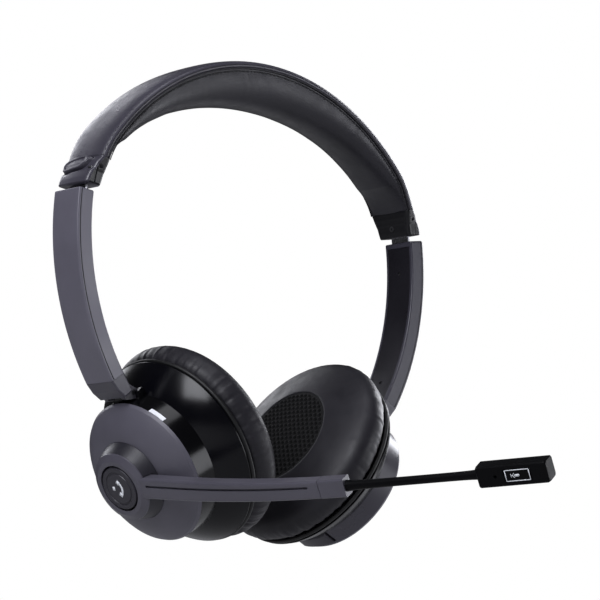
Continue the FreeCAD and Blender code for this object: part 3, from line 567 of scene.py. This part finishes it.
def make_band_sewing():
    """On both edges: piping with a thin line of leather on each side of it, and two rows of stitches."""
    phi = even_angles(-PHI_BAND, PHI_BAND, 240)
    seams = []
    for side in (-1, 1):
        for inset, y, radius in EDGE_PIPING:
            x, z = curve_points(phi, inset)
            path = np.stack([x, side * y * taper(phi), z], -1) * MM
            seams.append(round_tube(path, radius * MM, 8))
    piece("band_piping", *merged(seams), "headband", "leatherette", PAD_LEATHER)
    phi = even_angles(-PHI_BAND + 1.0, PHI_BAND - 1.0, STITCHES_IN_ROW)
    centres, along = [], []
    for inset, y in ((np.full(len(phi), 5.5), np.full(len(phi), 10.55)), cushion_edge(phi, 1.1)):
        x, z = curve_points(phi, inset)
        for side in (-1, 1):
            row = np.stack([x, side * y * taper(phi), z], -1) * MM
            centres.extend(row)
            along.extend(np.gradient(row, axis=0))
    stitches = beads(centres, along, STITCH_LENGTH * MM, STITCH_RADIUS * MM)
    piece("band_stitches", *stitches, "headband", "leatherette", THREAD)


def cap_section(half, outer, inner):
    """Rounded outline of an end cap across the band, as insets and y. It starts along the outer face."""
    flat = half - CAP_CORNER
    turn = np.linspace(0, math.pi / 2, CORNER_POINTS + 2)[1:-1]
    bulge, bend = CAP_CORNER * np.sin(turn), CAP_CORNER * np.cos(turn)
    wide = np.linspace(-flat, flat, FACE_POINTS)
    side = np.linspace(outer + CAP_CORNER, inner - CAP_CORNER, SIDE_POINTS)
    low = np.linspace(flat, -flat, BACK_POINTS)
    inset = np.concatenate([
        np.full(FACE_POINTS, outer), outer + CAP_CORNER - bend, side, inner - CAP_CORNER + bulge,
        np.full(BACK_POINTS, inner), inner - CAP_CORNER + bend, side[::-1], outer + CAP_CORNER - bulge])
    y = np.concatenate([
        wide, flat + bulge, np.full(SIDE_POINTS, half), flat + bend,
        low, -flat - bulge, np.full(SIDE_POINTS, -half), -flat - bend])
    return inset, y


def make_end_cap(side, name):
    """Raised tab with a groove round it, above a flared foot; the inner half is black."""
    phi = np.concatenate([[CAP_TOP], np.linspace(CAP_TOP + 0.2, CAP_FOOT - 0.2, 62), [CAP_FOOT]])
    knots = [CAP_TOP, 70.5, 73.5, 77.2, 78.6, 80.0, CAP_FOOT]
    outer = np.interp(phi, knots, [4.6, 4.5, 3.7, 3.1, 2.2, 1.5, 1.2])
    inner = np.interp(phi, knots, [9.0, 9.1, 9.2, 9.1, 9.0, 8.8, 8.5])
    half = np.interp(phi, knots, [10.1, 10.0, 9.5, 8.9, 8.6, 8.4, 8.2])
    half[[0, -1]] -= 0.35
    rings = []
    for angle, face_inset, back_inset, wide in zip(phi, outer, inner, half):
        inset, y = cap_section(wide, face_inset, back_inset)
        on_face = np.clip((face_inset + 1.2 - inset) / 1.2, 0, 1)
        on_side = np.abs(y) > wide - 0.1
        # how far each point lies outside the tab's outline, a leaning rectangle with round corners
        across = np.abs(y - 2.4) - 2.6
        down = np.abs(angle - 72.9 - 0.16 * (y - 1.4)) + 0.4
        beyond = np.hypot(np.maximum(across, 0), np.maximum(down, 0))
        edge = beyond + np.minimum(np.maximum(across, down), 0) - 4.4
        tab = 0.95 * np.clip((0.25 - edge) / 0.6, 0, 1)
        groove = np.exp(-((edge - 0.8) / 0.45) ** 2) * np.clip((angle - 70.3) / 0.6, 0, 1)
        dish = 0.35 * np.clip((-1.4 - edge) / 0.5, 0, 1)
        crown = 0.5 * (y / wide) ** 2
        # a round dent and the line between the two halves, both on the cap's sides
        dent = 0.5 * np.exp(-((inset - 6.0) ** 2 + (angle - 75.5) ** 2) / 0.35) * on_side
        seam = 0.22 * np.exp(-((inset - 4.9) / 0.22) ** 2) * on_side
        inset = inset + on_face * (groove + crown + dish - tab)
        x, z = curve_points(np.full(len(y), side * angle), inset)
        rings.append(np.stack([x, y - np.sign(y) * (dent + seam), z], -1) * MM)
    count = len(rings[0])
    obj = piece("end_cap_skin_" + name, *tube_mesh(np.array(rings)), "headband", "shell", SLATE_SATIN_AND_LIT_RIM)
    obj.data.materials.append(DARK_SATIN)
    for face in obj.data.polygons:
        if all(FACE_POINTS + CORNER_POINTS < k % count < count - CORNER_POINTS for k in face.vertices):
            face.material_index = 1
    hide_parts("end_cap_outer_" + name, "end_cap_inner_" + name)


def make_arm_seams(side, name):
    """The dark parting line along both sides of an arm."""
    phi = even_angles(ARM_TOP, ARM_END, 60)
    x, z = curve_points(side * phi, SEAM_INSET)
    lines = [round_tube(np.stack([x, np.full(len(phi), y), z], -1) * MM, SEAM_RADIUS * MM, 8)
             for y in (-SEAM_HALF, SEAM_HALF)]
    piece("arm_seam_" + name, *merged(lines), "arm_" + name, "shell_dark", PIPING)


# ---------------------------------------------------------------- ear cushions


def turned_rings(profile, angles, displacement):
    """Rings about the cup's axis: profile of (r, z) points, each pushed out by its own displacement."""
    rings = []
    for (r, z), push in zip(profile, displacement):
        radius = np.full(len(angles), r) + push
        height = np.full(len(angles), z)
        rings.append(np.stack([radius * np.cos(angles), radius * np.sin(angles), height], -1))
    return np.array(rings)


def make_ear_pad(side, name):
    """A soft ring, sewn to the bell's edge in small gathers that fade over its side."""
    count = 480
    angles = 2 * math.pi * np.arange(count) / count
    outline = [(32.9, -20.2), (34.4, -20.5), (36.1, -22.4), (36.9, -25.4), (36.5, -28.2), (34.6, -30.7),
               (31.4, -32.6), (27.4, -34.2), (23.4, -35.4), (20.6, -36.1), (19.35, -36.25),
               (PAD_HOLE_R, -35.6)]
    rows = 90
    profile = smooth_path(outline, rows)
    back = np.array([(PAD_HOLE_R, -33.5), (PAD_HOLE_R, -20.3), (26.0, -20.2)])
    share = np.linspace(0, 1, rows)
    fine, coarse, dents = ring_noise(angles, 190), ring_noise(angles, 96), ring_noise(angles, 15)
    sharp = np.sign(fine) * np.abs(fine) ** 0.6
    displacement = []
    # s runs from the sewn edge, over the side and the face, down to the hole
    for s in share:
        near_seam = math.exp(-((s - 0.10) / 0.07) ** 2)
        on_side = math.exp(-((s - 0.24) / 0.13) ** 2)
        at_hole = math.exp(-((s - 0.93) / 0.04) ** 2)
        gathers = near_seam * (0.22 * sharp + 0.12 * coarse) + on_side * (0.12 * sharp + 0.06 * coarse)
        hollows = 0.04 * dents * math.sin(math.pi * s)
        displacement.append(gathers + hollows - 0.10 * at_hole * (1 + 0.5 * fine))
    displacement += [0.0] * len(back)
    rings = turned_rings(np.vstack([profile, back]), angles, displacement)
    faces = grid_faces(len(rings), count, wrap_rows=True)
    obj = piece("pad_skin_" + name, in_cup(rings, side), faces, "cup_" + name, "leatherette", PAD_LEATHER)
    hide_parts("ear_pad_" + name)
    ring = turned_rings([(PAD_RING_R, PAD_RING_Z)], angles, [0.0])[0]
    piece("pad_piping_" + name, *round_tube(in_cup(ring, side), PAD_RING_RADIUS * MM, 14, closed=True),
          "cup_" + name, "leatherette", PIPING)


def make_pad_centre(side, name):
    """Perforated cloth stretched in a low dome over the driver: rows of small round holes, their floors
    darker than the cloth as painted shade.
    """
    steps = 230
    lines = np.linspace(-CENTRE_R, CENTRE_R, steps)
    x, y = np.meshgrid(lines, lines)
    r = np.hypot(x, y)
    stretch = np.where(r > 0, np.maximum(np.abs(x), np.abs(y)) / np.maximum(r, 1e-9), 1.0)
    x, y = x * stretch, y * stretch
    r = np.hypot(x, y)
    row = np.round(y / HOLE_ROW)
    shift = np.where(row % 2 == 0, 0.0, 0.5) * HOLE_PITCH
    from_x = x - (np.round((x - shift) / HOLE_PITCH) * HOLE_PITCH + shift)
    gap = np.hypot(from_x, y - row * HOLE_ROW)
    fade = np.clip((CENTRE_R - 0.7 - r) / 0.5, 0, 1)
    pit = HOLE_DEPTH / (1 + np.exp((gap - HOLE_R) / 0.05)) * fade
    rise = 0.14 * np.exp(-((gap - HOLE_R - 0.4) / 0.16) ** 2) * fade
    z = CENTRE_Z + (r / CENTRE_R) ** 2 + pit - rise
    top = np.stack([x, y, z], -1).reshape(-1, 3)
    faces = grid_faces(steps, steps, wrap_columns=False)
    # faces inside the holes get the darker cloth: painted shade
    dark = ((gap < HOLE_R + 0.02) & (fade > 0.5)).ravel()
    in_hole = [k for k, face in enumerate(faces) if all(dark[corner] for corner in face)]
    number = np.arange(steps * steps).reshape(steps, steps)
    sides = [number[0], number[1:, -1], number[-1, -2::-1], number[-2:0:-1, 0]]
    rim = np.concatenate(sides).tolist()
    low = top[rim].copy()
    low[:, 2] = CENTRE_BACK_Z
    first, around = len(top), len(rim)
    faces += [(rim[k], rim[(k + 1) % around], first + (k + 1) % around, first + k) for k in range(around)]
    faces.append(tuple(range(first, first + around)))
    vertices = in_cup(np.vstack([top, low]), side)
    obj = piece("pad_mesh_" + name, vertices, faces, "cup_" + name, "pad_cloth", MESH_CLOTH)
    obj.data.materials.append(HOLE_SHADE)
    for k in in_hole:
        obj.data.polygons[k].material_index = 1
    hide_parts("pad_centre_" + name)


# ---------------------------------------------------------------- boom neck and icons


def make_neck():
    """Rubber sleeve of the gooseneck, thicker at both ends, that bends between boom and microphone."""
    distances = np.linspace(BOOM_LENGTH - 0.5, BOOM_LENGTH + NECK_LENGTH + 0.3, 110)
    share = (distances - distances[0]) / (distances[-1] - distances[0])
    radius = 1.42 + 0.55 * np.exp(-share / 0.10) + 0.35 * np.exp(-(1 - share) / 0.06)
    path = in_boom(np.array([boom_point(d) for d in distances]))
    vertices, faces = round_tube(path, radius * MM, 24)
    obj = piece("neck_sleeve", vertices, faces, None, "neck_rubber", RUBBER)
    middle = BOOM_LENGTH + NECK_LENGTH / 2
    tuple(in_boom(boom_point(middle - 11)))
    tuple(in_boom(boom_point(middle + 11)))
    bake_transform(obj)
    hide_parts("gooseneck_root", "gooseneck_tip")


def plate(outline, place, z_low, z_high):
    """Thin closed plate from an outline of (x, y) points."""
    top = place(np.array([(x, y, z_high) for x, y in outline]))
    low = place(np.array([(x, y, z_low) for x, y in outline]))
    n = len(outline)
    faces = [tuple(range(n)), tuple(range(2 * n - 1, n - 1, -1))]
    faces += [(k, (k + 1) % n, n + (k + 1) % n, n + k) for k in range(n)]
    return np.vstack([top, low]), faces


def merged(parts):
    """Several (vertices, faces) as one mesh."""
    vertices, faces = [], []
    for part_vertices, part_faces in parts:
        faces.extend(tuple(len(vertices) + k for k in face) for face in part_faces)
        vertices.extend(part_vertices)
    return np.array(vertices), faces


def stroke(points, width, place, z_low, z_high):
    """A flat line of even width along points, with square ends."""
    p = np.asarray(points, float)
    ahead = np.gradient(p, axis=0)
    ahead /= np.linalg.norm(ahead, axis=1)[:, None]
    aside = np.stack([-ahead[:, 1], ahead[:, 0]], -1) * width / 2
    return plate([tuple(q) for q in np.vstack([p + aside, (p - aside)[::-1]])], place, z_low, z_high)


def arc(centre, radius, start, end, count=16):
    """Points on a circle from start to end, in degrees."""
    a = np.radians(np.linspace(start, end, count))
    return np.stack([centre[0] + radius * np.cos(a), centre[1] + radius * np.sin(a)], -1)


def make_icons():
    """A plain handset and light on the answer button, and a framed microphone on the mute button."""
    low, high = ANSWER_TOP - PRINT_DOWN, ANSWER_TOP + PRINT_UP
    handset = [stroke(arc((-1.3, 0.0), 2.9, -52, 52), 0.95, in_boom, low, high)]
    for across in (1, -1):
        end = [(-0.35, across * 1.75), (0.95, across * 2.75)]
        handset.append(stroke(end, 1.5, in_boom, low, high + 0.005))
    piece("answer_icon", *merged(handset), "answer_button", "window", WHITE)
    light = [plate([(-3.2, -0.7), (-2.0, -0.7), (-2.0, 0.7), (-3.2, 0.7)], in_boom, low, high)]
    piece("answer_light", *merged(light), "answer_button", "window", WHITE)
    low, high = MUTE_TOP - PRINT_DOWN, MUTE_TOP + PRINT_UP
    x_a, x_b, y_a = 10.1, 18.3, 1.85
    border = [[(x_a, -y_a), (x_b, -y_a)], [(x_a, y_a), (x_b, y_a)],
              [(x_a, -y_a), (x_a, y_a)], [(x_b, -y_a), (x_b, y_a)]]
    capsule = np.vstack([arc((14.5, 0.0), 0.42, -90, 90, 8), arc((13.5, 0.0), 0.42, 90, 270, 8)])
    stand = [arc((13.5, 0.0), 0.85, 110, 250, 12), [(12.65, 0.0), (12.0, 0.0)], [(12.0, -0.6), (12.0, 0.6)]]
    symbol = [stroke(line, 0.3, in_mic, low, high) for line in border]
    symbol.append(plate([tuple(q) for q in capsule], in_mic, low, high))
    symbol += [stroke(line, 0.2, in_mic, low, high) for line in stand]
    piece("mute_icon", *merged(symbol), "mute_button", "window", WHITE)


# ---------------------------------------------------------------- studio


def pale_to_camera(tree, dim, output, strength):
    """Let the camera see plain white of this strength where other rays see the dim shader."""
    white = tree.nodes.new("ShaderNodeEmission")
    white.inputs["Color"].default_value = (1, 1, 1, 1)
    white.inputs["Strength"].default_value = strength
    seen = tree.nodes.new("ShaderNodeLightPath")
    mix = tree.nodes.new("ShaderNodeMixShader")
    tree.links.new(seen.outputs["Is Camera Ray"], mix.inputs["Fac"])
    tree.links.new(dim, mix.inputs[1])
    tree.links.new(white.outputs["Emission"], mix.inputs[2])
    tree.links.new(mix.outputs["Shader"], output.inputs["Surface"])


def make_studio():
    """Pale floor and white surroundings that add little light, so that the lamps shape the object."""
    view = bpy.context.scene.view_settings
    view.view_transform = "Standard"
    view.gamma = 0.88
    world = bpy.data.worlds.new("studio")
    bpy.context.scene.world = world
    world.use_nodes = True
    dim = world.node_tree.nodes["Background"]
    dim.inputs["Color"].default_value = (1, 1, 1, 1)
    dim.inputs["Strength"].default_value = 0.05
    pale_to_camera(world.node_tree, dim.outputs["Background"], world.node_tree.nodes["World Output"], 1.0)
    corners = [(FLOOR_REACH * x, FLOOR_REACH * y, FLOOR_Z) for x, y in ((-1, -1), (1, -1), (1, 1), (-1, 1))]
    floor_mesh = bpy.data.meshes.new("floor")
    floor_mesh.from_pydata(corners, [], [(0, 1, 2, 3)])
    floor = bpy.data.objects.new("floor", floor_mesh)
    material, node = shader("pale_floor", (0.5, 0.5, 0.5), 0.6)
    tree = material.node_tree
    pale_to_camera(tree, node.outputs["BSDF"], tree.nodes["Material Output"], 0.96)
    floor_mesh.materials.append(material)
    bpy.context.scene.collection.objects.link(floor)
    for lamp in LAMPS:
        add_light(*lamp)


def add_light(name, place, size, power):
    """A soft rectangular lamp that points at the headset."""
    data = bpy.data.lights.new(name, "AREA")
    data.shape = "RECTANGLE"
    data.size, data.size_y = size
    data.energy = power
    data.color = LAMP_COLOR
    light = bpy.data.objects.new(name, data)
    light.location = place
    light.rotation_euler = (Vector(LAMPS_AIM) - Vector(place)).to_track_quat("-Z", "Y").to_euler()
    bpy.context.scene.collection.objects.link(light)


def make_camera():
    """A long lens, in front of the headset on the boom's side and a little below it."""
    level = math.cos(CAMERA_ELEVATION)
    back = Vector((math.sin(CAMERA_AZIMUTH) * level, -math.cos(CAMERA_AZIMUTH) * level,
                   math.sin(CAMERA_ELEVATION)))
    data = bpy.data.cameras.new("camera")
    data.lens = CAMERA_LENS
    data.sensor_width = 36.0
    data.clip_start = 0.05
    camera = bpy.data.objects.new("camera", data)
    camera.location = Vector(CAMERA_AIM) + back * CAMERA_DISTANCE
    camera.rotation_euler = (-back).to_track_quat("-Z", "Y").to_euler()
    bpy.context.scene.collection.objects.link(camera)
    bpy.context.scene.camera = camera


make_camera()
make_studio()
dress_nodes()
make_band_cover()
make_band_cushion()
make_band_sewing()
for cup_side, cup_name in ((-1, "L"), (1, "R")):
    make_end_cap(cup_side, cup_name)
    make_arm_seams(cup_side, cup_name)
    make_ear_pad(cup_side, cup_name)
    make_pad_centre(cup_side, cup_name)
make_neck()
make_icons()
